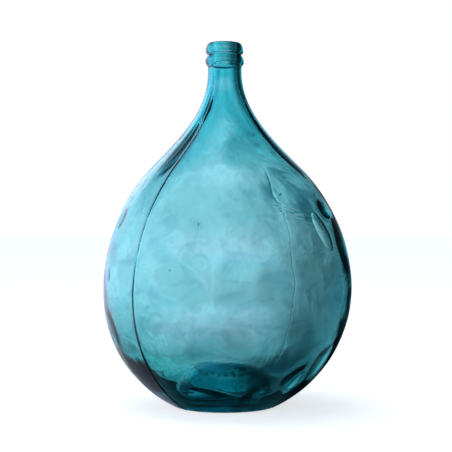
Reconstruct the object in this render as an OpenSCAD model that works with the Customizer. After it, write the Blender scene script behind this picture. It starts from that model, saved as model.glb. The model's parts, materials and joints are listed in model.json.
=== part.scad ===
// Glass carboy (demijohn): a pear-shaped blown glass vessel with a pushed-up
// base and a narrow neck, finished with an applied string rim and lip.
// Origin at the centre of the foot ring, on the surface it stands on. +Z is up.

/* [Body] */
// Height from the foot ring to the top of the lip
height = 580; // [560:5:610]
// Diameter of the belly at its widest
belly_d = 397; // [387:2:407]
// Height of the widest level above the foot
belly_z = 187; // [183:1:193]
// Radius of the curve from the foot up to the belly
lower_curve_r = 207; // [202:1:212]
// Radius of the curve from the belly up towards the shoulder
upper_curve_r = 275; // [265:1:285]
// Angle that the upper curve turns through, in degrees
upper_turn = 44.5; // [43:0.5:46]
// Pull of the upper curve on the shoulder line
shoulder_pull = 56; // [46:1:66]
// Pull of the neck on the shoulder line
neck_pull = 65; // [55:1:75]

/* [Foot] */
// Outer radius of the push-up in the base, at its mouth
punt_r = 67; // [59:1:69]
// Height of the push-up's crown above the foot
punt_h = 55; // [30:1:60]
// Rounding of the foot ring's inner edge
foot_round = 3; // [2:0.5:4]
// Rounding of the heel, between the foot ring and the belly
heel_r = 14; // [12:0.5:16]

/* [Glass] */
// Thickness of the base over the push-up
base_wall = 12; // [10:0.5:13]
// Thickness of the wall at the heel
heel_wall = 7; // [6:0.5:9]
// Thickness of the wall at the belly
belly_wall = 4; // [3.5:0.25:6]
// Thickness of the wall at the shoulder
shoulder_wall = 4; // [3.5:0.25:6]

/* [Neck and finish] */
// Radius of the hole through the neck
bore_r = 20; // [18.5:0.25:21]
// Outer radius of the plain neck
neck_r = 27; // [26.5:0.25:28.5]
// Length of plain neck below the string rim
neck_len = 8; // [5:1:14]
// Outer radius of the neck tube where the rim and lip are laid on it
seat_r = 25; // [23.5:0.25:26]
// Outer radius of the string rim
rim_r = 30.9; // [29.7:0.2:33.5]
// Height of the string rim
rim_h = 20.8; // [18:0.2:24]
// Outer radius of the lip
lip_r = 30.2; // [29:0.1:32.5]
// Height of the lip
lip_h = 17.9; // [15:0.1:20]
// Radius of the groove between the string rim and the lip
groove_r = 26.7; // [26.5:0.1:28.5]
// Rounding of the mouth's inner edge
mouth_round = 3.5; // [2:0.25:3.5]

/* [Hidden] */
$fn = 96;
GLASS = [0.10, 0.56, 0.62, 0.55];

belly_r = belly_d / 2;
lip_z = height - lip_h;
rim_z = lip_z - rim_h;
neck_z = rim_z - neck_len;
rim_peak_z = rim_z + 0.4 * rim_h;
lip_peak_z = lip_z + 0.2 * lip_h;
dome_share = 2 / 2.5;

// Points on a curve of four control points, with the last point left out
function curve(a, b, c, d, steps) = [
    for (i = [0 : steps - 1])
        let (t = i / steps, s = 1 - t)
        s * s * s * a + 3 * s * s * t * b + 3 * s * t * t * c + t * t * t * d
];

// Points on an ellipse between two angles, with the last point left out
function arc(centre, rx, rz, from, to, steps) = [
    for (i = [0 : steps - 1])
        let (angle = from + (to - from) * i / steps)
        centre + [rx * cos(angle), rz * sin(angle)]
];

// Points down a dome that is flatter on top than an ellipse, with the last left out
function dome(rx, rz, from, to, steps) = [
    for (i = [0 : steps - 1])
        let (angle = from + (to - from) * i / steps)
        [rx * pow(cos(angle), dome_share), foot_round + rz * pow(sin(angle), dome_share)]
];

// The heel's small arc touches the floor and, from inside, the lower curve
lower_centre = [belly_r - lower_curve_r, belly_z];
heel_centre = [
    lower_centre[0] + sqrt(pow(lower_curve_r - heel_r, 2) - pow(belly_z - heel_r, 2)),
    heel_r
];
heel_angle = atan2(lower_centre[1] - heel_centre[1], heel_centre[0] - lower_centre[0]);

// The shoulder line leaves the upper curve on its tangent and ends upright
upper_centre = [belly_r - upper_curve_r, belly_z];
shoulder_start = upper_centre + upper_curve_r * [cos(upper_turn), sin(upper_turn)];
shoulder_dir = [-sin(upper_turn), cos(upper_turn)];

// Outside of the wall, from the heel up to the foot of the plain neck
wall_line = concat(
    arc(lower_centre, lower_curve_r, lower_curve_r, -heel_angle, 0, 24),
    arc(upper_centre, upper_curve_r, upper_curve_r, 0, upper_turn, 16),
    curve(shoulder_start, shoulder_start + shoulder_pull * shoulder_dir,
          [neck_r, neck_z - neck_pull], [neck_r, neck_z], 24),
    [[neck_r, neck_z]]
);

// Glass is thickest low down and thins towards the belly
trough_z = 38;
function wall_at(z) = lookup(z, [
    [trough_z, heel_wall],
    [belly_z / 2, (heel_wall + 2 * belly_wall) / 3],
    [belly_z, belly_wall],
    [shoulder_start[1], shoulder_wall],
    [neck_z, neck_r - bore_r]
]);

// A point of the wall line moved in by the wall's thickness there
function inner_point(i) =
    let (along = wall_line[i + 1] - wall_line[i - 1],
         normal = [-along[1], along[0]] / norm(along))
    wall_line[i] + wall_at(wall_line[i][1]) * normal;

inner_wall = concat(
    [for (i = [1 : len(wall_line) - 2]) if (wall_line[i][1] > trough_z) inner_point(i)],
    [[bore_r, neck_z]]
);

// Inside of the base: a crown over the push-up, then a round trough at the heel
crown_rx = punt_r + base_wall;
crown_rz = punt_h - foot_round + base_wall;
crown_end = 33;
crown = dome(crown_rx, crown_rz, 90, crown_end, 16);
crown_foot = [crown_rx * pow(cos(crown_end), dome_share),
              foot_round + crown_rz * pow(sin(crown_end), dome_share)];
crown_dir = [crown_rx * pow(cos(crown_end), dome_share - 1) * sin(crown_end),
             -crown_rz * pow(sin(crown_end), dome_share - 1) * cos(crown_end)];
trough_pull = 27;
wall_dir = inner_wall[1] - inner_wall[0];
trough = curve(crown_foot, crown_foot + trough_pull * crown_dir / norm(crown_dir),
               inner_wall[0] - trough_pull * wall_dir / norm(wall_dir), inner_wall[0], 10);

// Profiles of the finish, above the seat of the rim and lip
lip_crest = [bore_r + mouth_round, height];
lip_rx = lip_r - lip_crest[0];
lip_rz = height - lip_peak_z;
seat_angle = acos((seat_r - lip_crest[0]) / lip_rx);
seat_top = [seat_r, lip_peak_z + lip_rz * sin(seat_angle)];

module blown_vessel() {
    outside = concat(
        dome(punt_r, punt_h - foot_round, 90, 0, 24),
        arc([punt_r + foot_round, foot_round], foot_round, foot_round, 180, 270, 6),
        [[punt_r + foot_round, 0]],
        arc(heel_centre, heel_r, heel_r, -90, -heel_angle, 4),
        wall_line,
        [[neck_r, rim_z], [seat_r, rim_z], seat_top, lip_crest]
    );
    mouth = arc([lip_crest[0], height - mouth_round], mouth_round, mouth_round, 180, 90, 6);
    inside = concat(crown, trough, inner_wall, mouth);
    color(GLASS)
    rotate_extrude()
    polygon(concat(outside, [for (i = [len(inside) - 1 : -1 : 0]) inside[i]]));
}

module string_rim() {
    profile = concat(
        [[seat_r, rim_z]],
        curve([neck_r, rim_z], [neck_r, rim_z + 0.12 * rim_h],
              [rim_r, rim_z + 0.17 * rim_h], [rim_r, rim_peak_z], 10),
        curve([rim_r, rim_peak_z], [rim_r, rim_z + 0.71 * rim_h],
              [groove_r + 0.6, rim_z + 0.81 * rim_h], [groove_r, lip_z], 14),
        [[groove_r, lip_z], [seat_r, lip_z]]
    );
    color(GLASS)
    rotate_extrude()
    polygon(profile);
}

module lip_band() {
    profile = concat(
        [[seat_r, lip_z]],
        arc([groove_r, lip_peak_z], lip_r - groove_r, lip_peak_z - lip_z, -90, 0, 8),
        arc([lip_crest[0], lip_peak_z], lip_rx, lip_rz, 0, seat_angle, 12),
        [seat_top]
    );
    color(GLASS)
    rotate_extrude()
    polygon(profile);
}

blown_vessel();
string_rim();
lip_band();
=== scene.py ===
import json
import math
import random

import bpy
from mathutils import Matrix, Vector, noise


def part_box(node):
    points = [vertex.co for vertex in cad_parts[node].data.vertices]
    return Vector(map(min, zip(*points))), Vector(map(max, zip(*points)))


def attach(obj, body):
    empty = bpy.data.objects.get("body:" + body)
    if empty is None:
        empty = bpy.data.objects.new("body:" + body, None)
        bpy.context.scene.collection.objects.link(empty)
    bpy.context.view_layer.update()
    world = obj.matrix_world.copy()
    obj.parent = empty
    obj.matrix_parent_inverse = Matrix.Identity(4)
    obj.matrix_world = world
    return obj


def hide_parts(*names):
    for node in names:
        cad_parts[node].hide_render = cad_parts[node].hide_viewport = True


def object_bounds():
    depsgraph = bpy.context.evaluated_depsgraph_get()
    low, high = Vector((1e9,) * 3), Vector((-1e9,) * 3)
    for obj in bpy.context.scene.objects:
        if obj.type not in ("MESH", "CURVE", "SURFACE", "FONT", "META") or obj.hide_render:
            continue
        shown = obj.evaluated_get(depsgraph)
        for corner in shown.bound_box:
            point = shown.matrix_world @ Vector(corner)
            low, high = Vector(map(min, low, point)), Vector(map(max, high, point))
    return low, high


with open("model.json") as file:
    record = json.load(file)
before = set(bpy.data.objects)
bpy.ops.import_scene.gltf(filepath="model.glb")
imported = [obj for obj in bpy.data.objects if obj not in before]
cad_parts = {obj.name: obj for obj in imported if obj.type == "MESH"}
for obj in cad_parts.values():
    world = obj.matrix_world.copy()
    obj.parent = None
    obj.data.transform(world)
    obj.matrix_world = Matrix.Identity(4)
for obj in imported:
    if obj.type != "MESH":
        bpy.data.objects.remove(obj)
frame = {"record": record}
cad_low, cad_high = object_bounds()

MM = 0.001
TAU = math.tau
QUARTER = math.pi / 2

# ---------------------------------------------------------------- sizes, from the frame
rim_low, rim_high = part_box("string_rim")
lip_low, lip_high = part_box("lip_band")
mounts = {m["name"]: m for m in frame["record"]["mounts"]}

HEIGHT = cad_high.z
BELLY_R = cad_high.x
BORE_R = mounts["mouth"]["dims"]["r_mm"] * MM
NECK_R = mounts["neck_collar"]["dims"]["r_mm"] * MM
NECK_LEN = mounts["neck_collar"]["dims"]["length_mm"] * MM
RIM_Z, RIM_R = rim_low.z, rim_high.x
LIP_Z, LIP_R = lip_low.z, lip_high.x
RIM_H, LIP_H = LIP_Z - RIM_Z, HEIGHT - LIP_Z
RIM_PEAK_Z = RIM_Z + 0.4 * RIM_H
LIP_PEAK_Z = LIP_Z + 0.20 * LIP_H
NECK_Z = RIM_Z - NECK_LEN

# Shape of the body, in metres: the same curves as the CAD outline
BELLY_Z = 0.187
LOWER_CURVE_R = 0.207
UPPER_CURVE_R = 0.275
UPPER_TURN = math.radians(44.5)
SHOULDER_PULL = 0.056
NECK_PULL = 0.065
PUNT_R = 0.067
PUNT_H = 0.055
FOOT_ROUND = 0.003
HEEL_R = 0.014
DOME_FLAT = 2.5
GROOVE_R = 0.0267
GROOVE_EASE = 0.0006
MOUTH_ROUND = 0.0035

# Levels of the string rim's control points, as shares of its height
RIM_LOW_PULL = 0.12
RIM_SIDE_PULL = 0.17
RIM_FALL_PULL = 0.71
GROOVE_PULL = 0.81

# Thickness of the glass, in metres
BASE_WALL = 0.012
HEEL_WALL = 0.007
BELLY_WALL = 0.004
SHOULDER_WALL = 0.004
TROUGH_Z = 0.038
TROUGH_PULL = 0.027
CROWN_END = math.radians(33)

# Steps of the mesh along each stretch of the outline, and round it
DOME_STEPS = 64
FOOT_STEPS = 5
FLAT_STEPS = 3
HEEL_STEPS = 4
LOWER_STEPS = 46
UPPER_STEPS = 30
SHOULDER_STEPS = 36
RIM_RISE_STEPS = 12
RIM_FALL_STEPS = 16
LIP_RISE_STEPS = 10
LIP_TOP_STEPS = 16
CROWN_STEPS = 28
TROUGH_STEPS = 24
BORE_STEPS = 8
MOUTH_STEPS = 6
COLUMNS = 204
# Above 1, the steps of the lower curve are closer together at the heel
HEEL_CROWDING = 1.3

# ---------------------------------------------------------------- unevenness of blown glass, in metres
# Sideways drift of the axis against the height
LEAN = [(0, -0.0016), (BELLY_Z, 0.0020), (HEIGHT, -0.0027)]
# Turn of the seams about the axis against the height, in degrees
TWIST = [(BELLY_Z, 0), (0.30, 2.5), (0.42, 7), (0.512, 8)]

# Waves in the two sides of the glass: height, size, curl and seed
OUTER_WAVES = [(0.0005, 0.07, 1.0, 3.1), (0.0002, 0.03, 1.0, 7.7)]
INNER_WAVES = [(0.0008, 0.07, 1.2, 11.3), (0.00012, 0.028, 1.0, 17.9)]
INNER_DRAWN = 0.8
# Seed of the noise that curls the waves: unseeded, it would curl them differently on each run
WAVE_SEED = 1794922117
noise.seed_set(WAVE_SEED)
# The waves die away over this length below the neck, near the axis and at the foot
CALM_ABOVE = 0.01
CALM_LENGTH = 0.12
CALM_R = 0.05
CALM_FOOT = 0.03

# The two halves of the mould met along these two directions from the axis
FRONT_SEAM = math.radians(225)
BACK_SEAM = math.radians(52)
SEAM_LOW = 0.002
SEAM_TOP = 0.533
SEAM_END = 0.006
SEAM_BASE_CLEAR = 0.01
SEAM_W = 0.0015
FRONT_SEAM_H = 0.0014
BACK_SEAM_H = 0.00016
# The back seam fades and both seams break up over these heights: start and length
BACK_SEAM_FADE = (0.36, 0.04)
BACK_SEAM_LOSS = 0.85
SEAM_BROKEN = (0.43, 0.03)
SEAM_GAP_PITCH = 90
SEAM_GAP_EDGE = 1.2
SEAM_GAP_SEED = 1.7
# Mesh columns beside each seam, in millimetres from it, and the width they replace
SEAM_COLUMNS_MM = (-3.6, -2.6, -1.8, -1.2, -0.6, 0, 0.6, 1.2, 1.8, 2.6, 3.6)
SEAM_CLEAR_MM = 5

# Extra glass that ran down inside the left heel, as far as the front seam
HEEL_LUMP_FROM = math.radians(150)
HEEL_LUMP_FROM_EASE = math.radians(25)
HEEL_LUMP_SEAM_EASE = math.radians(2.5)
HEEL_LUMP_TOP = 0.085
HEEL_LUMP_SLOPE = 0.34
HEEL_LUMP_H = 0.017
# Its top starts softly: loss of depth, and the depth where the whole loss is reached
HEEL_LUMP_SOFT = (0.004, 0.008)
# It thins out to nothing towards the foot: start and length
HEEL_LUMP_FOOT = (0.012, 0.02)
# Its ragged top: height, pitch and seed
HEEL_LUMP_RAGGED = [(0.005, 14, 3.3), (0.004, 60, 5.1)]

# Thick places inside the wall: heading and height of the crest, reach in degrees behind and before it,
# half height, depth, climb for each degree of heading, and stretch of the lower side
LUMPS = [
    (216, 0.404, 5, 14, 0.052, 0.0050, 0, 1),
    (225, 0.474, 6, 14, 0.030, 0.0022, 0, 1),
    (337, 0.312, 9, 10, 0.016, 0.0040, 0, 1),
    (346, 0.262, 13, 13, 0.045, 0.0050, 0, 1),
    (349, 0.172, 7, 8, 0.018, 0.0034, 0, 1),
    (341, 0.425, 12, 15, 0.075, 0.0034, 0, 1),
    (258, 0.039, 22, 23, 0.010, 0.0055, -0.00038, 2.4),
    (289, 0.039, 9, 9, 0.010, 0.0046, 0.0011, 2.4),
    (199.5, 0.297, 3, 5, 0.018, 0.0016, 0, 1),
    (199.5, 0.210, 2, 4, 0.012, 0.0011, 0, 1),
    (198, 0.125, 5, 8, 0.032, 0.0032, 0, 1),
    (313, 0.064, 9, 11, 0.012, 0.0030, 0.0014, 6),
    (331, 0.092, 6, 8, 0.011, 0.0030, 0.0008, 4),
]
# Thick places lie before this heading on the left of the vessel, and after it on the right
LUMP_MIDDLE = 270
# Low down they start outside the push-up and above the foot: level, then starts and lengths
LUMP_LOW = 0.1
LUMP_START_R = (0.085, 0.02)
LUMP_START_Z = (0.02, 0.01)

# Lift of the glass in the trough round the push-up: at the sides, and in front and behind
TROUGH_SIDE = 0.0045
TROUGH_FRONT = 0.004
TROUGH_UNEVEN = 0.5
TROUGH_UNEVEN_PITCH = 2
TROUGH_UNEVEN_SEED = 5.5
# Where the trough starts from the axis, and where it ends upwards: place and length
TROUGH_START_R = (0.055, 0.02)
TROUGH_END_Z = (0.057, 0.026)
# Lift of the trough's edge against the heading
TROUGH_EDGE = [
    (0, 0), (50, 0.001), (90, 0.002), (110, 0), (130, -0.001), (150, -0.003), (180, -0.003), (200, 0),
    (222, 0), (228, -0.003), (237, -0.0025), (250, -0.001), (260, -0.001), (280, -0.002), (292, 0.001),
    (298, -0.002), (318, -0.002), (330, 0),
]

# Plain raised marks in a ring on the underside of the push-up: bars, and every third a small ring
MARK_COUNT = 26
MARK_R = 0.044
MARK_REACH = 0.006
MARK_H = 0.0009
MARK_W = 0.0009
MARK_BAR_HALF = 0.0028
MARK_RING_R = 0.0022
MARK_RING_EVERY = 3
# The bars take these tilts in a mixed order
MARK_TILTS = 11
MARK_TILT_STRIDE = 37

# Seeds: ranges of their half width, of how far they are drawn out, of height and of tilt
SEED_COUNT = 46
SEED_SIZE = (0.0004, 0.0012)
SEED_DRAWN = (1.0, 2.2)
SEED_Z = (0.03, 0.50)
SEED_TILT = 0.4
SEED_MESH = (6, 8)
SEED_DICE = 41
# Blisters: heading, height, half sizes and tilt from upright
BLISTERS = [
    (323, 0.279, (0.033, 0.015, 0.0009), -20),
]
BLISTER_MESH = (14, 28)
# Depth of every gas bubble, as a share of the wall's thickness
BUBBLE_DEPTH = 0.45

# ---------------------------------------------------------------- glass
IOR = 1.52
GLASS_TINT = (0.0, 0.79, 0.81)
GLASS_DENSITY = 162
# Cords run level in the belly and upright above it, over these heights
CORD_TURN = (0.30, 0.42)
CORD_H = 0.00043
CORD_EDGE = (0.52, 0.68)
CORD_TINT = (0.80, 0.88, 0.92)
PEEL_H = 0.00001
# Round ripples in the skin: centre, spacing and reach in metres
RIPPLES = [
    ((-0.035, -0.187, 0.235), 0.013, 0.075),
    ((0.074, -0.148, 0.298), 0.019, 0.050),
    ((-0.090, -0.150, 0.150), 0.015, 0.070),
]
RIPPLE_H = 0.00010
RIPPLE_WOBBLE = 0.03
RIPPLE_CORE = 0.2
# The neck is tinted deeper, up to the finish
NECK_DEEP = (0.34, 0.47)
FINISH_CLEAR = (0.533, 0.545)
NECK_TINT = (0.55, 0.93, 0.96)
# The thick glass over the push-up is tinted deeper in its colour as painted shade, for the dark floor under the
# vessel seen through it
DOME_FROM = (0.032, 0.038)
DOME_TO = (0.070, 0.080)
DOME_REACH = (0.095, 0.115)
PUSH_UP_SHADE_TINT = (0.62, 0.77, 0.77)

# ---------------------------------------------------------------- light
# Brightness of the room against the heading from the vessel, 0 straight behind it and 90 to the right
SIDE_TONE = [
    (-180, 0.25), (-150, 0.4), (-120, 0.9), (-90, 1.2), (-32, 1.25), (-23, 1.4), (-16, 1.7), (-11, 1.30),
    (-4, 1.12), (-1, 1.02), (1, 0.86), (3, 0.60), (6, 0.36), (9, 0.17), (12, 0.12), (16, 0.13), (21, 0.12),
    (27, 0.05), (38, 0.05), (55, 0.07), (80, 0.05), (100, 0.15), (125, 0.45), (145, 0.45), (165, 0.25),
    (180, 0.25),
]
# Brightness against the angle above the level, with the floor below it: there it is the floor's painted shade
# in the glass, darker close to the vessel as its painted shadow
LEVEL_TONE = [
    (-90, 0.30), (-60, 0.34), (-48, 0.30), (-40, 0.24), (-28, 0.24), (-18, 0.22), (-14, 0.38), (-12, 0.46),
    (-10, 0.52), (-8, 0.54), (-6, 0.60), (-4, 0.82), (-1, 0.92), (3, 1.0), (5, 0.92), (8, 1.0), (15, 1.0),
    (25, 0.7), (40, 0.4), (60, 0.4), (90, 0.4),
]
# Right of straight behind, the dark side starts further right away from eye level:
# the level where that begins below and above, and the most that it moves, in degrees
EDGE_RIGHT = (0, 6)
EDGE_BELOW = (2, -9)
EDGE_ABOVE = (3, 5)

# Colours of the room, and the headings or levels over which each takes over
ROOM_COLOUR = (1.03, 0.97, 1.10)
SIDE_COLOUR = (0.80, 0.90, 1.20)
SIDE_REACH = (30, 80)
RIGHT_COLOUR = (0.25, 0.90, 1.05)
RIGHT_REACH = (14, 40)
HIGH_COLOUR = (0.45, 0.80, 1.15)
HIGH_REACH = (15, 38)
FRONT_COLOUR = (0.10, 0.80, 1.00)
FRONT_REACH = (100, 140)

# Shade on the right of the room, above the level
SHADE_SLOPE = 0.18
SHADE_EDGE = (1.6, 2.6)
SHADE_TOP = (5.0, 6.2)
SHADE_SIDE = (1.5, 5)
SHADE_COLOUR = (0.30, 0.62, 0.70)

# Clouding of the room's light, and of the panels
CLOUD_EDGE = (0.36, 0.64)
CLOUD_SHARE = 0.20
CLOUD_BASE = 0.88
PANEL_CLOUD = 0.5

# Soft panels round the vessel and over it, some bright and some dim, each laid over those before it; below the
# level they are painted light and shade on the floor in the glass:
# colour, heading from the front, half width, lower edge and upper edge
PANELS = [
    ((1.9, 1.7, 2.2), -12, (40, 70), (15, 24), (25, 46)),
    ((1.8, 1.8, 2.2), -20, (70, 120), (62, 80), (178, 179)),
    ((1.8, 1.6, 2.2), -14, (30, 62), (-28, -14), (-12, -5)),
    ((0.70, 0.85, 0.9), -150, (20, 40), (-48, -36), (-20, -12)),
    ((1.0, 1.2, 1.65), -142, (8, 18), (-10, -2), (12, 28)),
    ((0.55, 0.62, 0.85), -168, (5, 10), (5, 9), (20, 28)),
    ((1.75, 1.7, 2.05), -150, (8, 14), (11, 16), (26, 36)),
    ((0.12, 0.34, 0.40), 95, (15, 28), (-40, -25), (-12, -6)),
]

# The floor is seen in the glass as if from this height
FLOOR_EYE = 0.13
FLOOR_GLOW = 0.70
FLOOR_PALE = (0.80, 0.80, 0.80)
FLOOR_HALF = 30.0

OVERHEAD_PLACE = (-0.6, 0.3, 3.2)
OVERHEAD_AIM = (0, 0, 0.3)
OVERHEAD_SIZE = (2.6, 2.6)
OVERHEAD_RADIANCE = 1.2

CAMERA_DISTANCE = 1.840
CAMERA_HEIGHT = 0.287
CAMERA_LENS = 91.4
CAMERA_SENSOR = 36


# ---------------------------------------------------------------- small sums
def smooth(x):
    """0 below 0, 1 above 1 and smooth in between."""
    x = min(1.0, max(0.0, x))
    return x * x * (3 - 2 * x)


def ease(x, start, length):
    """0 before start, 1 a length further on and smooth in between."""
    return smooth((x - start) / length)


def unit(a, b):
    """Direction from a to b."""
    length = math.hypot(b[0] - a[0], b[1] - a[1])
    return ((b[0] - a[0]) / length, (b[1] - a[1]) / length)


def lookup(z, table):
    """The value at z of a table of heights and values, straight between its rows."""
    if z <= table[0][0]:
        return table[0][1]
    for (z0, v0), (z1, v1) in zip(table, table[1:]):
        if z <= z1:
            return v0 + (v1 - v0) * (z - z0) / (z1 - z0)
    return table[-1][1]


# ---------------------------------------------------------------- outline
def curve(a, b, c, d, steps):
    """Points on a curve of four control points, without the last."""
    found = []
    for i in range(steps):
        t = i / steps
        s = 1 - t
        weights = (s * s * s, 3 * s * s * t, 3 * s * t * t, t * t * t)
        found.append(tuple(sum(w * p[k] for w, p in zip(weights, (a, b, c, d))) for k in (0, 1)))
    return found


def arc(centre, rx, rz, start, end, steps, crowding=1):
    """Points on an ellipse between two angles, without the last. Crowding above 1 gathers them at the start."""
    angles = [start + (end - start) * (i / steps) ** crowding for i in range(steps)]
    return [(centre[0] + rx * math.cos(a), centre[1] + rz * math.sin(a)) for a in angles]


def dome(rx, rz, end, steps):
    """Points down a flat-topped dome from its crown, without the last."""
    found = []
    for i in range(steps):
        a = QUARTER + (end - QUARTER) * i / steps
        c, s = (max(0.0, v) ** (2 / DOME_FLAT) for v in (math.cos(a), math.sin(a)))
        found.append((rx * c, FOOT_ROUND + rz * s))
    return found


lower_centre = (BELLY_R - LOWER_CURVE_R, BELLY_Z)
heel_reach = math.sqrt((LOWER_CURVE_R - HEEL_R) ** 2 - (BELLY_Z - HEEL_R) ** 2)
heel_centre = (lower_centre[0] + heel_reach, HEEL_R)
heel_angle = math.atan2(lower_centre[1] - heel_centre[1], heel_reach)
upper_centre = (BELLY_R - UPPER_CURVE_R, BELLY_Z)
shoulder_start = (
    upper_centre[0] + UPPER_CURVE_R * math.cos(UPPER_TURN),
    upper_centre[1] + UPPER_CURVE_R * math.sin(UPPER_TURN),
)
lip_crest_r = BORE_R + MOUTH_ROUND


def wall_line():
    """Outside of the wall, from the heel up to the foot of the plain neck."""
    pulled = (
        shoulder_start[0] - SHOULDER_PULL * math.sin(UPPER_TURN),
        shoulder_start[1] + SHOULDER_PULL * math.cos(UPPER_TURN),
    )
    return (
        arc(lower_centre, LOWER_CURVE_R, LOWER_CURVE_R, -heel_angle, 0, LOWER_STEPS, HEEL_CROWDING)
        + arc(upper_centre, UPPER_CURVE_R, UPPER_CURVE_R, 0, UPPER_TURN, UPPER_STEPS)
        + curve(shoulder_start, pulled, (NECK_R, NECK_Z - NECK_PULL), (NECK_R, NECK_Z), SHOULDER_STEPS)
    )


def base_line():
    """Outside of the base, from the crown of the push-up over the foot ring to the heel."""
    foot_start = (PUNT_R + FOOT_ROUND, 0)
    foot_end = (heel_centre[0], 0)
    return (
        dome(PUNT_R, PUNT_H - FOOT_ROUND, 0, DOME_STEPS)
        + arc((PUNT_R + FOOT_ROUND, FOOT_ROUND), FOOT_ROUND, FOOT_ROUND, 2 * QUARTER, 3 * QUARTER, FOOT_STEPS)
        + curve(foot_start, foot_start, foot_end, foot_end, FLAT_STEPS)
        + arc(heel_centre, HEEL_R, HEEL_R, -QUARTER, -heel_angle, HEEL_STEPS)
    )


def finish_line():
    """Outside of the neck and the finish, from the foot of the plain neck to the crest of the lip."""
    return (
        [(NECK_R, NECK_Z), (NECK_R, NECK_Z + NECK_LEN / 2)]
        + curve((NECK_R, RIM_Z), (NECK_R, RIM_Z + RIM_LOW_PULL * RIM_H),
                (RIM_R, RIM_Z + RIM_SIDE_PULL * RIM_H), (RIM_R, RIM_PEAK_Z), RIM_RISE_STEPS)
        + curve((RIM_R, RIM_PEAK_Z), (RIM_R, RIM_Z + RIM_FALL_PULL * RIM_H),
                (GROOVE_R + GROOVE_EASE, RIM_Z + GROOVE_PULL * RIM_H), (GROOVE_R, LIP_Z), RIM_FALL_STEPS)
        + arc((GROOVE_R, LIP_PEAK_Z), LIP_R - GROOVE_R, LIP_PEAK_Z - LIP_Z, -QUARTER, 0, LIP_RISE_STEPS)
        + arc((lip_crest_r, LIP_PEAK_Z), LIP_R - lip_crest_r, HEIGHT - LIP_PEAK_Z, 0, QUARTER, LIP_TOP_STEPS)
    )


def wall_at(z):
    """Mean thickness of the wall at height z."""
    return lookup(z, [
        (TROUGH_Z, HEEL_WALL),
        (BELLY_Z / 2, (HEEL_WALL + 2 * BELLY_WALL) / 3),
        (BELLY_Z, BELLY_WALL),
        (shoulder_start[1], SHOULDER_WALL),
        (NECK_Z, NECK_R - BORE_R),
    ])


def inside_line():
    """The whole inside, from the crown of the base up to the crest of the lip."""
    outer = wall_line()
    wall = []
    for before, here, after in zip(outer, outer[1:], outer[2:]):
        if here[1] > TROUGH_Z:
            along = unit(before, after)
            t = wall_at(here[1])
            wall.append((here[0] - t * along[1], here[1] + t * along[0]))
    rx, rz = PUNT_R + BASE_WALL, PUNT_H - FOOT_ROUND + BASE_WALL
    crown = dome(rx, rz, CROWN_END, CROWN_STEPS)
    foot = dome(rx, rz, 2 * CROWN_END - QUARTER, 2)[1]
    fall = unit(crown[-1], foot)
    climb = unit(wall[0], wall[1])
    trough = curve(
        foot,
        (foot[0] + TROUGH_PULL * fall[0], foot[1] + TROUGH_PULL * fall[1]),
        (wall[0][0] - TROUGH_PULL * climb[0], wall[0][1] - TROUGH_PULL * climb[1]),
        wall[0],
        TROUGH_STEPS,
    )
    bore_top = HEIGHT - MOUTH_ROUND
    bore = [(BORE_R, NECK_Z + (bore_top - NECK_Z) * i / BORE_STEPS) for i in range(BORE_STEPS)]
    mouth = arc((lip_crest_r, bore_top), MOUTH_ROUND, MOUTH_ROUND, math.pi, QUARTER, MOUTH_STEPS)
    return crown + trough + wall + bore + mouth


# ---------------------------------------------------------------- unevenness
def lean(z):
    """Sideways drift of the axis: the vessel is a little off true."""
    return lookup(z, LEAN)


def twist(z):
    """Turn of the seams about the axis, from the belly up."""
    return math.radians(lookup(z, TWIST))


def apart(angle, other):
    """Angle between two directions from the axis."""
    return abs((angle - other + math.pi) % TAU - math.pi)


def seam_columns():
    """Angles of the mesh columns: even all round, and close together at the two seams."""
    even = [TAU * i / COLUMNS for i in range(COLUMNS)]
    extra = []
    for seam in (FRONT_SEAM, BACK_SEAM):
        for step in SEAM_COLUMNS_MM:
            extra.append((seam + step * MM / BELLY_R) % TAU)
        even = [a for a in even if apart(a, seam) > SEAM_CLEAR_MM * MM / BELLY_R]
    return sorted(even + extra)


def seam_height(angle, r, z):
    """Height of the mould seams at a point of the outside."""
    under_base = r < PUNT_R + FOOT_ROUND and z < PUNT_H + SEAM_BASE_CLEAR
    if z > SEAM_TOP or z < SEAM_LOW or under_base:
        return 0
    back = BACK_SEAM_H * (1 - BACK_SEAM_LOSS * ease(z, *BACK_SEAM_FADE))
    height = 0
    for seam, top in ((FRONT_SEAM, FRONT_SEAM_H), (BACK_SEAM, back)):
        height += top * math.exp(-((apart(angle, seam) * r / SEAM_W) ** 2))
    patchy = noise.noise(Vector((z * SEAM_GAP_PITCH, SEAM_GAP_SEED, 0)))
    gap = ease(z, *SEAM_BROKEN) * smooth(0.5 + SEAM_GAP_EDGE * patchy)
    return height * (1 - gap) * (1 - smooth((z - SEAM_TOP) / SEAM_END + 1))


def swirl(point, size, warp, seed):
    """Smooth noise whose shapes are drawn out and curled, from -1 to 1."""
    p = point / size + Vector((seed, seed * 0.37, -seed))
    p = p + warp * noise.noise_vector(p * 0.5)
    return noise.noise(p)


def outer_wave(point):
    """Push of the outside at a point, along its outward direction."""
    return sum(height * swirl(point, size, warp, seed) for height, size, warp, seed in OUTER_WAVES)


def inner_wave(point):
    """Push of the inside at a point, with its shapes drawn out upright."""
    drawn = Vector((point.x, point.y, point.z * INNER_DRAWN))
    return sum(height * swirl(drawn, size, warp, seed) for height, size, warp, seed in INNER_WAVES)


def calmness(r, z):
    """How freely the skin waves: less towards the neck and the axis."""
    return min(1.0, max(0.0, (NECK_Z + CALM_ABOVE - z) / CALM_LENGTH)) * min(1.0, r / CALM_R)


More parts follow.
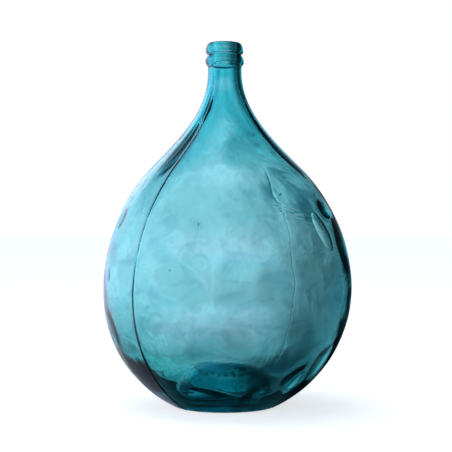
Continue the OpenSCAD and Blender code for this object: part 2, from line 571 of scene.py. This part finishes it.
def heel_lump(angle, z):
    """Depth of the extra glass in the left heel at a point of the inside."""
    seam_side = smooth((FRONT_SEAM - angle) / HEEL_LUMP_SEAM_EASE)
    side = seam_side * ease(angle, HEEL_LUMP_FROM, HEEL_LUMP_FROM_EASE)
    ragged = sum(
        height * noise.noise(Vector((angle * pitch, seed, 0))) for height, pitch, seed in HEEL_LUMP_RAGGED
    )
    depth = HEEL_LUMP_TOP + ragged - z
    loss, loss_depth = HEEL_LUMP_SOFT
    grown = HEEL_LUMP_SLOPE * max(0.0, depth - loss * smooth(depth / loss_depth))
    return min(grown, HEEL_LUMP_H) * side * ease(z, *HEEL_LUMP_FOOT)


def lumps(angle, z):
    """Depth of the thick places at a point of the inside: each falls away evenly towards the front."""
    depth = 0
    for heading, height, behind, before, tall, peak, climb, sag in LUMPS:
        off = (math.degrees(angle) - heading + 180) % 360 - 180
        reach = before if (off > 0) == (heading < LUMP_MIDDLE) else behind
        above = z - height - climb * off
        far = math.hypot(off / reach, above / (tall if above > 0 else sag * tall))
        if far < 1:
            bell = 0.5 + 0.5 * math.cos(math.pi * far)
            ramp = 1 - far if reach == before and reach != behind else bell
            depth += peak * (0.5 * ramp + 0.5 * bell)
    return depth


def trough_lift(angle, r, z):
    """Rise of the glass in the trough round the push-up: it lies unevenly along the front."""
    end, length = TROUGH_END_Z
    share = ease(r, *TROUGH_START_R) * smooth((end - z) / length)
    x, y = TROUGH_UNEVEN_PITCH * math.cos(angle), TROUGH_UNEVEN_PITCH * math.sin(angle)
    uneven = TROUGH_UNEVEN * noise.noise(Vector((x, y, TROUGH_UNEVEN_SEED)))
    lift = TROUGH_SIDE * (math.cos(angle) ** 2 + uneven) - TROUGH_FRONT * math.sin(angle) ** 2
    return share * (lift + lookup(math.degrees(angle), TROUGH_EDGE))


def mark_height(angle, r):
    """Height of the small raised bars and rings on the push-up, seen from below."""
    if abs(r - MARK_R) > MARK_REACH:
        return 0
    cell = TAU / MARK_COUNT
    number = int(angle / cell)
    x = (angle - (number + 0.5) * cell) * MARK_R
    y = r - MARK_R
    tilt = (number * MARK_TILT_STRIDE % MARK_TILTS) / MARK_TILTS * math.pi
    along = x * math.cos(tilt) + y * math.sin(tilt)
    across = -x * math.sin(tilt) + y * math.cos(tilt)
    if number % MARK_RING_EVERY == 0:
        off = abs(math.hypot(x, y) - MARK_RING_R)
    else:
        off = math.hypot(max(0.0, abs(along) - MARK_BAR_HALF), across)
    return MARK_H * math.exp(-((off / MARK_W) ** 2))


# ---------------------------------------------------------------- mesh
def outer_push(i, angle, point, r, z):
    """Outward push of the outside at step i of its line."""
    if i <= DOME_STEPS:
        return -mark_height(angle, r)
    return outer_wave(point) * calmness(r, z) * min(1.0, z / CALM_FOOT) + seam_height(angle, r, z)


def inner_push(angle, turned, point, r, z):
    """Outward push of the inside, which the thick places take inwards."""
    clear_of_base = ease(r, *LUMP_START_R)
    thick = lumps(turned, z)
    if z < LUMP_LOW:
        thick = thick * ease(z, *LUMP_START_Z) * clear_of_base
    return inner_wave(point) * calmness(r, z) - heel_lump(angle, z) * clear_of_base - thick


def skin(line, side, columns):
    """Vertices of one side of the glass, a ring of columns for each point of its line after the first."""
    rings = []
    for i, (r, z) in enumerate(line[1:], start=1):
        before, after = line[i - 1], line[min(i + 1, len(line) - 1)]
        along = unit(before, after)
        out = (along[1], -along[0])
        ring = []
        for angle in columns:
            turned = angle + twist(z)
            direction = Vector((math.cos(turned), math.sin(turned), 0))
            point = direction * r + Vector((0, 0, z))
            if side == "outside":
                push = outer_push(i, angle, point, r, z)
            else:
                push = inner_push(angle, turned, point, r, z)
            moved = direction * (r + push * out[0]) + Vector((0, 0, z + push * out[1]))
            moved.x += lean(z)
            if side == "inside":
                moved.z += trough_lift(angle, r, z)
            ring.append(moved)
        rings.append(ring)
    return rings


def wall_frame(z):
    """Radius of the outside at height z, and the direction along the wall there."""
    line = wall_line()
    for a, b in zip(line, line[1:]):
        if z <= b[1]:
            share = (z - a[1]) / (b[1] - a[1])
            return a[0] + (b[0] - a[0]) * share, unit(a, b)
    return NECK_R, (0, 1)


def hollow(verts, faces, angle, z, size, tilt, rings, sides):
    """A closed gas bubble within the wall and bent with it, of the given half length, width and thickness."""
    long, wide, thick = size
    r0 = wall_frame(z)[0]
    start = len(verts)
    for i in range(rings + 1):
        a = math.pi * i / rings
        for j in range(sides if 0 < i < rings else 1):
            b = TAU * j / sides
            u = long * math.cos(a)
            v = wide * math.sin(a) * math.cos(b)
            w = thick * math.sin(a) * math.sin(b)
            up, side = u * math.cos(tilt) - v * math.sin(tilt), u * math.sin(tilt) + v * math.cos(tilt)
            height = z + up * wall_frame(z)[1][1]
            r, along = wall_frame(height)
            deep = w - BUBBLE_DEPTH * wall_at(height)
            turned = angle + side / r0
            out = r + deep * along[1]
            verts.append(Vector((out * math.cos(turned) + lean(height), out * math.sin(turned),
                                 height - deep * along[0])))
    last = len(verts) - 1
    for j in range(sides):
        n = (j + 1) % sides
        faces.append((start, start + 1 + j, start + 1 + n))
        for i in range(rings - 2):
            a, b = start + 1 + i * sides, start + 1 + (i + 1) * sides
            faces.append((a + j, b + j, b + n, a + n))
        a = start + 1 + (rings - 2) * sides
        faces.append((last, a + n, a + j))


def gas_bubbles():
    """Seeds scattered through the wall, and the few larger blisters."""
    dice = random.Random(SEED_DICE)
    verts, faces = [], []
    for _ in range(SEED_COUNT):
        size = dice.uniform(*SEED_SIZE)
        drawn = dice.uniform(*SEED_DRAWN)
        heading = dice.uniform(0, TAU)
        z = dice.uniform(*SEED_Z)
        tilt = dice.uniform(-SEED_TILT, SEED_TILT)
        hollow(verts, faces, heading, z, (size * drawn, size, size), tilt, *SEED_MESH)
    for heading, z, size, tilt in BLISTERS:
        hollow(verts, faces, math.radians(heading), z, size, math.radians(tilt), *BLISTER_MESH)
    return verts, faces


def glass_mesh():
    """One closed skin: up the outside from the push-up's crown, and down the inside."""
    outside = base_line() + wall_line() + finish_line()
    inside = inside_line()
    crest = (lip_crest_r, HEIGHT)
    columns = seam_columns()
    count = len(columns)
    outer_rings = skin(outside + [crest], "outside", columns)
    inner_rings = skin(inside + [crest], "inside", columns)
    rings = outer_rings + inner_rings[:-1][::-1]
    low = Vector((lean(0), 0, outside[0][1]))
    high = Vector((lean(0), 0, inside[0][1]))
    verts = [low] + [p for ring in rings for p in ring] + [high]
    faces = []
    for c in range(count):
        faces.append((0, 1 + (c + 1) % count, 1 + c))
    for k in range(len(rings) - 1):
        a, b = 1 + k * count, 1 + (k + 1) * count
        for c in range(count):
            d = (c + 1) % count
            faces.append((a + c, a + d, b + d, b + c))
    last = 1 + (len(rings) - 1) * count
    for c in range(count):
        faces.append((last + c, last + (c + 1) % count, len(verts) - 1))
    more, hollows = gas_bubbles()
    first = len(verts)
    verts += more
    faces += [tuple(first + v for v in face) for face in hollows]
    mesh = bpy.data.meshes.new("glass_carboy")
    mesh.from_pydata(verts, [], faces)
    mesh.update()
    mesh.validate()
    mesh.polygons.foreach_set("use_smooth", [True] * len(mesh.polygons))
    return mesh


# ---------------------------------------------------------------- node helpers
def new_node(tree, kind, **values):
    """A node of a tree, with its settings and its inputs given by name."""
    node = tree.nodes.new(kind)
    for name, value in values.items():
        if hasattr(node, name):
            setattr(node, name, value)
        else:
            node.inputs[name.replace("_", " ")].default_value = value
    return node


def maths(tree, operation, *values):
    """Output of a math node fed with sockets or numbers."""
    node = new_node(tree, "ShaderNodeMath", operation=operation)
    for socket, value in zip(node.inputs, values):
        if isinstance(value, (int, float)):
            socket.default_value = value
        else:
            tree.links.new(value, socket)
    return node.outputs[0]


def product(tree, *values):
    """All the values multiplied together."""
    total = values[0]
    for value in values[1:]:
        total = maths(tree, "MULTIPLY", total, value)
    return total


def rest_of(tree, share):
    """What a share leaves of 1."""
    return maths(tree, "SUBTRACT", 1, share)


def rise(tree, value, low, high):
    """0 below low, 1 above high and smooth in between."""
    node = new_node(tree, "ShaderNodeMapRange", interpolation_type="SMOOTHSTEP", From_Min=low, From_Max=high)
    tree.links.new(value, node.inputs["Value"])
    return node.outputs["Result"]


def blend(tree, share, first, second):
    """Colour between first and second, which are sockets or colours."""
    node = new_node(tree, "ShaderNodeMix", data_type="RGBA")
    tree.links.new(share, node.inputs[0])
    for socket, value in ((node.inputs[6], first), (node.inputs[7], second)):
        if isinstance(value, tuple):
            socket.default_value = (*value, 1)
        else:
            tree.links.new(value, socket)
    return node.outputs[2]


def tone_ramp(tree, degrees, stops):
    """Value read off a table of angles and values, by an angle in degrees."""
    first, last = stops[0][0], stops[-1][0]
    node = new_node(tree, "ShaderNodeFloatCurve")
    share = new_node(tree, "ShaderNodeMapRange", From_Min=first, From_Max=last)
    tree.links.new(degrees, share.inputs["Value"])
    tree.links.new(share.outputs["Result"], node.inputs["Value"])
    top = max(v for _, v in stops)
    line = node.mapping.curves[0]
    places = [((d - first) / (last - first), v / top) for d, v in stops]
    line.points[0].location, line.points[-1].location = places[0], places[-1]
    for place in places[1:-1]:
        line.points.new(*place)
    for point in line.points:
        point.handle_type = "AUTO_CLAMPED"
    node.mapping.update()
    return maths(tree, "MULTIPLY", node.outputs["Value"], top)


def stretched_noise(tree, place, stretch, **values):
    """Noise whose shapes are drawn out along the axes of small stretch."""
    scaled = new_node(tree, "ShaderNodeVectorMath", operation="MULTIPLY")
    scaled.inputs[1].default_value = stretch
    tree.links.new(place, scaled.inputs[0])
    cloud = new_node(tree, "ShaderNodeTexNoise", **values)
    tree.links.new(scaled.outputs[0], cloud.inputs["Vector"])
    return cloud.outputs["Fac"]


# ---------------------------------------------------------------- glass material
def cord_pattern(tree, place, z):
    """Cords of the glass: level swirls in the belly that turn upright towards the neck."""
    upright = stretched_noise(tree, place, (1, 1, 0.2), Scale=34, Detail=2, Roughness=0.4, Distortion=0.6)
    level = stretched_noise(tree, place, (0.8, 0.8, 1.3), Scale=13, Detail=2, Roughness=0.45, Distortion=2.2)
    cords = new_node(tree, "ShaderNodeMix", data_type="FLOAT")
    tree.links.new(rise(tree, z, *CORD_TURN), cords.inputs[0])
    tree.links.new(level, cords.inputs[2])
    tree.links.new(upright, cords.inputs[3])
    return cords.outputs[0]


def ripple(tree, place, centre, length, reach):
    """Round ripples that fade out from a centre."""
    distance = new_node(tree, "ShaderNodeVectorMath", operation="DISTANCE")
    wobble = new_node(tree, "ShaderNodeTexNoise", Scale=18, Detail=1)
    tree.links.new(place, wobble.inputs["Vector"])
    tree.links.new(place, distance.inputs[0])
    distance.inputs[1].default_value = centre
    far = maths(tree, "MULTIPLY_ADD", wobble.outputs["Fac"], RIPPLE_WOBBLE, distance.outputs["Value"])
    wave = maths(tree, "SINE", maths(tree, "MULTIPLY", far, TAU / length))
    fade = rest_of(tree, rise(tree, far, RIPPLE_CORE * reach, reach))
    return product(tree, wave, fade, RIPPLE_H)


def skin_relief(tree, place, cords):
    """Height of the cords, the orange peel and the ripples in the skin."""
    peel = stretched_noise(tree, place, (1, 1, 1), Scale=160, Detail=2, Roughness=0.5)
    relief = maths(tree, "ADD", product(tree, cords, CORD_H), product(tree, peel, PEEL_H))
    for centre, length, reach in RIPPLES:
        relief = maths(tree, "ADD", relief, ripple(tree, place, centre, length, reach))
    return relief


def surface_tint(tree, x, y, z, cords):
    """Colour of the skin: white, deeper in the neck and along the cords, and darker over the push-up as painted
    shade.
    """
    neck = maths(tree, "SUBTRACT", rise(tree, z, *NECK_DEEP), rise(tree, z, *FINISH_CLEAR))
    tint = blend(tree, neck, (1.0, 1.0, 1.0), NECK_TINT)
    radius = maths(tree, "SQRT", maths(tree, "ADD", product(tree, x, x), product(tree, y, y)))
    # Painted shade over the push-up: the dark floor under the vessel, seen through the base
    push_up_shade = product(
        tree,
        rise(tree, z, *DOME_FROM),
        rest_of(tree, rise(tree, z, *DOME_TO)),
        rest_of(tree, rise(tree, radius, *DOME_REACH)),
    )
    tint = blend(tree, push_up_shade, tint, PUSH_UP_SHADE_TINT)
    return blend(tree, rise(tree, cords, *CORD_EDGE), tint, CORD_TINT)


def glass_material():
    """Teal glass, tinted through its thickness, with cords and a faint orange peel in its skin."""
    material = bpy.data.materials.new("blown_teal_glass")
    material.use_nodes = True
    tree = material.node_tree
    links = tree.links
    shader = tree.nodes["Principled BSDF"]
    shader.inputs["Transmission Weight"].default_value = 1
    shader.inputs["IOR"].default_value = IOR
    shader.inputs["Roughness"].default_value = 0.0
    place = new_node(tree, "ShaderNodeTexCoord").outputs["Object"]
    split = new_node(tree, "ShaderNodeSeparateXYZ")
    links.new(place, split.inputs[0])
    x, y, z = split.outputs
    cords = cord_pattern(tree, place, z)
    bump = new_node(tree, "ShaderNodeBump", Strength=1.0, Distance=1.0)
    links.new(skin_relief(tree, place, cords), bump.inputs["Height"])
    links.new(bump.outputs["Normal"], shader.inputs["Normal"])
    links.new(surface_tint(tree, x, y, z, cords), shader.inputs["Base Color"])
    tint = new_node(tree, "ShaderNodeVolumeAbsorption", Color=(*GLASS_TINT, 1), Density=GLASS_DENSITY)
    links.new(tint.outputs["Volume"], tree.nodes["Material Output"].inputs["Volume"])
    return material


# ---------------------------------------------------------------- the room and its floor
def room_tone(tree, heading, level, cloudy):
    """Brightness of the room in a direction."""
    below, most_below = EDGE_BELOW
    above, most_above = EDGE_ABOVE
    sunk = maths(tree, "MINIMUM", maths(tree, "ADD", level, below), 0)
    raised = maths(tree, "MAXIMUM", maths(tree, "SUBTRACT", level, above), 0)
    sunk = maths(tree, "MAXIMUM", sunk, most_below)
    raised = maths(tree, "MINIMUM", raised, most_above)
    shift = maths(tree, "SUBTRACT", sunk, raised)
    right = rise(tree, heading, *EDGE_RIGHT)
    side = tone_ramp(tree, maths(tree, "MULTIPLY_ADD", shift, right, heading), SIDE_TONE)
    shade = tone_ramp(tree, level, LEVEL_TONE)
    return product(tree, side, shade, maths(tree, "MULTIPLY_ADD", cloudy, CLOUD_SHARE, CLOUD_BASE))


def room_colour(tree, heading, level):
    """Colour of the room in a direction, before its brightness."""
    turned = maths(tree, "ABSOLUTE", heading)
    colour = blend(tree, rise(tree, turned, *SIDE_REACH), ROOM_COLOUR, SIDE_COLOUR)
    colour = blend(tree, rise(tree, heading, *RIGHT_REACH), colour, RIGHT_COLOUR)
    colour = blend(tree, rise(tree, level, *HIGH_REACH), colour, HIGH_COLOUR)
    colour = blend(tree, rise(tree, turned, *FRONT_REACH), colour, FRONT_COLOUR)
    slanted = maths(tree, "MULTIPLY_ADD", heading, SHADE_SLOPE, level)
    high = product(tree, rise(tree, slanted, *SHADE_EDGE), rest_of(tree, rise(tree, level, *SHADE_TOP)))
    share = product(tree, high, rise(tree, heading, *SHADE_SIDE))
    shaded = new_node(tree, "ShaderNodeVectorMath", operation="MULTIPLY")
    tree.links.new(colour, shaded.inputs[0])
    tree.links.new(blend(tree, share, (1.0, 1.0, 1.0), SHADE_COLOUR), shaded.inputs[1])
    return shaded.outputs[0]


def with_panel(tree, lit, front, level, cloudy, panel):
    """The room's light with one soft panel laid over it."""
    colour, centre, width, low, high = panel
    off = maths(tree, "ABSOLUTE", maths(tree, "SUBTRACT", front, centre))
    across = rest_of(tree, rise(tree, off, *width))
    upright = product(tree, rise(tree, level, *low), rest_of(tree, rise(tree, level, *high)))
    clouded = maths(tree, "MULTIPLY_ADD", cloudy, PANEL_CLOUD, 1 - PANEL_CLOUD)
    return blend(tree, product(tree, across, upright, clouded), lit, colour)


def room_group():
    """Light of the room from each direction, as the glass sees it."""
    tree = bpy.data.node_groups.new("room_light", "ShaderNodeTree")
    tree.interface.new_socket("Direction", in_out="INPUT", socket_type="NodeSocketVector")
    tree.interface.new_socket("Colour", in_out="OUTPUT", socket_type="NodeSocketColor")
    direction = new_node(tree, "NodeGroupInput").outputs["Direction"]
    split = new_node(tree, "ShaderNodeSeparateXYZ")
    tree.links.new(direction, split.inputs[0])
    x, y, z = split.outputs
    heading = maths(tree, "DEGREES", maths(tree, "ARCTAN2", x, y))
    front = maths(tree, "DEGREES", maths(tree, "ARCTAN2", x, maths(tree, "MULTIPLY", y, -1)))
    level = maths(tree, "DEGREES", maths(tree, "ARCSINE", z))
    cloud = new_node(tree, "ShaderNodeTexNoise", Scale=11.0, Detail=4.0, Roughness=0.6, Distortion=1.2)
    tree.links.new(direction, cloud.inputs["Vector"])
    cloudy = rise(tree, cloud.outputs["Fac"], *CLOUD_EDGE)
    scaled = new_node(tree, "ShaderNodeVectorMath", operation="SCALE")
    tree.links.new(room_colour(tree, heading, level), scaled.inputs[0])
    tree.links.new(room_tone(tree, heading, level, cloudy), scaled.inputs["Scale"])
    lit = scaled.outputs[0]
    for panel in PANELS:
        lit = with_panel(tree, lit, front, level, cloudy, panel)
    out = new_node(tree, "NodeGroupOutput")
    tree.links.new(lit, out.inputs["Colour"])
    return tree


def camera_choice(tree, elsewhere, seen):
    """Shader that the camera sees as one thing, and every other ray as another."""
    choose = new_node(tree, "ShaderNodeMixShader")
    tree.links.new(new_node(tree, "ShaderNodeLightPath").outputs["Is Camera Ray"], choose.inputs[0])
    tree.links.new(elsewhere.outputs[0], choose.inputs[1])
    tree.links.new(seen.outputs[0], choose.inputs[2])
    return choose.outputs[0]


def floor_material(room):
    """Pale floor. In the glass it glows with the room's light as painted light and shade, dark close to the
    vessel as its painted shadow and pale further off.
    """
    material = bpy.data.materials.new("pale_floor")
    material.use_nodes = True
    tree = material.node_tree
    tree.nodes.clear()
    links = tree.links
    place = new_node(tree, "ShaderNodeTexCoord").outputs["Object"]
    seen = new_node(tree, "ShaderNodeVectorMath", operation="SUBTRACT")
    seen.inputs[1].default_value = (0, 0, FLOOR_EYE)
    links.new(place, seen.inputs[0])
    direction = new_node(tree, "ShaderNodeVectorMath", operation="NORMALIZE")
    links.new(seen.outputs[0], direction.inputs[0])
    group = new_node(tree, "ShaderNodeGroup", node_tree=room)
    links.new(direction.outputs[0], group.inputs["Direction"])
    # In the glass the floor is unlit and glows with the room's light in its direction from FLOOR_EYE: painted
    # light and shade
    shaded = new_node(tree, "ShaderNodeEmission")
    links.new(group.outputs["Colour"], shaded.inputs["Color"])
    glow = new_node(tree, "ShaderNodeEmission", Color=(1, 1, 1, 1), Strength=FLOOR_GLOW)
    pale = new_node(tree, "ShaderNodeBsdfDiffuse", Color=(*FLOOR_PALE, 1))
    both = new_node(tree, "ShaderNodeAddShader")
    links.new(glow.outputs[0], both.inputs[0])
    links.new(pale.outputs[0], both.inputs[1])
    out = new_node(tree, "ShaderNodeOutputMaterial")
    links.new(camera_choice(tree, shaded, both), out.inputs["Surface"])
    return material


def room_world(room):
    """A white studio: plain white where the camera sees past the object, and the room's light elsewhere."""
    world = bpy.data.worlds.new("studio")
    bpy.context.scene.world = world
    world.use_nodes = True
    tree = world.node_tree
    links = tree.links
    tree.nodes.clear()
    group = new_node(tree, "ShaderNodeGroup", node_tree=room)
    links.new(new_node(tree, "ShaderNodeTexCoord").outputs["Generated"], group.inputs["Direction"])
    light = new_node(tree, "ShaderNodeBackground")
    links.new(group.outputs["Colour"], light.inputs["Color"])
    plain = new_node(tree, "ShaderNodeBackground", Color=(1, 1, 1, 1))
    out = new_node(tree, "ShaderNodeOutputWorld")
    links.new(camera_choice(tree, light, plain), out.inputs["Surface"])


def area_light(name, place, aim, size, radiance):
    """A soft panel that lights the floor and shows neither in the camera nor in the glass."""
    data = bpy.data.lights.new(name, "AREA")
    data.shape = "RECTANGLE"
    data.size, data.size_y = size
    data.energy = radiance * math.pi * size[0] * size[1]
    lamp = bpy.data.objects.new(name, data)
    lamp.location = place
    lamp.rotation_mode = "QUATERNION"
    lamp.rotation_quaternion = (Vector(aim) - Vector(place)).to_track_quat("-Z", "Y")
    lamp.visible_camera = False
    lamp.visible_glossy = False
    lamp.visible_transmission = False
    bpy.context.collection.objects.link(lamp)


# ---------------------------------------------------------------- the scene
def add(name, mesh, material):
    """A piece of the scene with its mesh and material."""
    piece = bpy.data.objects.new(name, mesh)
    bpy.context.collection.objects.link(piece)
    mesh.materials.append(material)
    return piece


def floor_mesh():
    """A square floor at the level the vessel stands on."""
    corners = ((-1, -1), (1, -1), (1, 1), (-1, 1))
    mesh = bpy.data.meshes.new("floor")
    mesh.from_pydata([(x * FLOOR_HALF, y * FLOOR_HALF, 0) for x, y in corners], [], [(0, 1, 2, 3)])
    return mesh


glass = add("glass_carboy", glass_mesh(), glass_material())
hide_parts("blown_vessel", "string_rim", "lip_band")
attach(glass, "root")

room = room_group()
floor = add("floor", floor_mesh(), floor_material(room))

room_world(room)
area_light("overhead", OVERHEAD_PLACE, OVERHEAD_AIM, OVERHEAD_SIZE, OVERHEAD_RADIANCE)

camera_data = bpy.data.cameras.new("camera")
camera_data.lens = CAMERA_LENS
camera_data.sensor_width = CAMERA_SENSOR
camera = bpy.data.objects.new("camera", camera_data)
camera.location = (0, -CAMERA_DISTANCE, CAMERA_HEIGHT)
camera.rotation_euler = (QUARTER, 0, 0)
bpy.context.collection.objects.link(camera)
bpy.context.scene.camera = camera
bpy.context.scene.view_settings.view_transform = "Standard"
